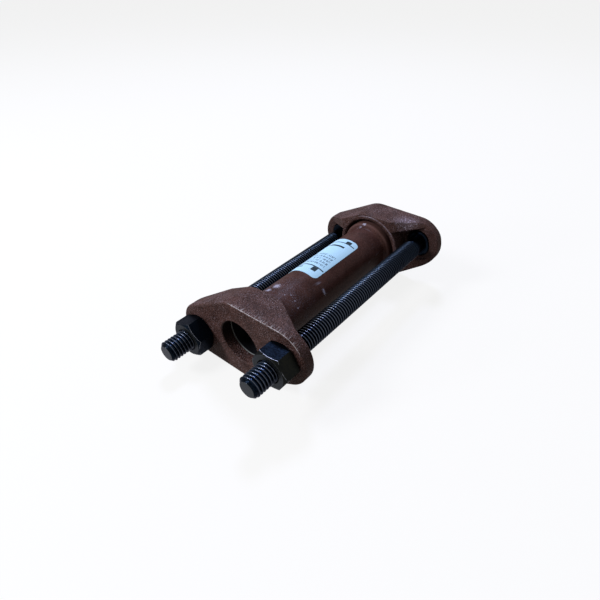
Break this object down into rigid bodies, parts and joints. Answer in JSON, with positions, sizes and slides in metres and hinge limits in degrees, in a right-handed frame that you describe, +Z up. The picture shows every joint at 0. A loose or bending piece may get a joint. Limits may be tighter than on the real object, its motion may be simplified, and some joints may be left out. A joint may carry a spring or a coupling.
{
  "type": "compression coupling",
  "caption": "Bolted compression coupling that joins plain-end iron pipe: flared steel middle ring, rubber gaskets and cast lozenge glands drawn together by track bolts.",
  "frame": {"origin": "on the pipe axis at the middle of the middle ring", "axes": "+Y along the pipe from the nut end to the bolt-head end, +Z up as the coupling lies on the slanted sides of its glands"},
  "size_m": [0.094, 0.1844, 0.0504],
  "materials": {
    "ring_paint": "brown shop paint on steel tube, scuffed",
    "gland_iron": "brown shop paint on grainy casting, worn at the front edge",
    "gasket_rubber": "black moulded rubber",
    "bolt_steel": "black oiled steel with a bluish sheen",
    "label_paper": "pale paper sticker with dark print"
  },
  "bodies": {
    "middle_ring": {"middle_ring": "ring_paint", "label": "label_paper"},
    "near_gland": {"near_gland": "gland_iron", "near_gasket": "gasket_rubber"},
    "far_gland": {"far_gland": "gland_iron", "far_gasket": "gasket_rubber", "left_bolt": "bolt_steel", "right_bolt": "bolt_steel"},
    "left_nut": {"left_nut": "bolt_steel"},
    "right_nut": {"right_nut": "bolt_steel"}
  },
  "joints": [
    {"name": "near_gland_slide", "type": "slide", "parent": "middle_ring", "child": "near_gland", "axis": [0, 1, 0], "range_m": [-0.0071, 0.0015], "deforming": ["near_gasket"]},
    {"name": "far_gland_slide", "type": "slide", "parent": "middle_ring", "child": "far_gland", "axis": [0, 1, 0], "range_m": [-0.0016, 0.0072], "deforming": ["far_gasket"]},
    {"name": "left_nut_turn", "type": "hinge", "parent": "near_gland", "child": "left_nut", "pos_m": [-0.03242, -0.0806, -0.00845], "axis": [0, 1, 0], "range_deg": [-2630, 565]},
    {"name": "right_nut_turn", "type": "hinge", "parent": "near_gland", "child": "right_nut", "pos_m": [0.03242, -0.0806, 0.00845], "axis": [0, 1, 0], "range_deg": [-2630, 565]}
  ],
  "couplings": [
    {"joint": "far_gland_slide", "follows": "near_gland_slide", "ratio": -1},
    {"joint": "left_nut_turn", "follows": "near_gland_slide", "rad_per_m": 6431.6},
    {"joint": "right_nut_turn", "follows": "near_gland_slide", "rad_per_m": 6431.6}
  ]
}
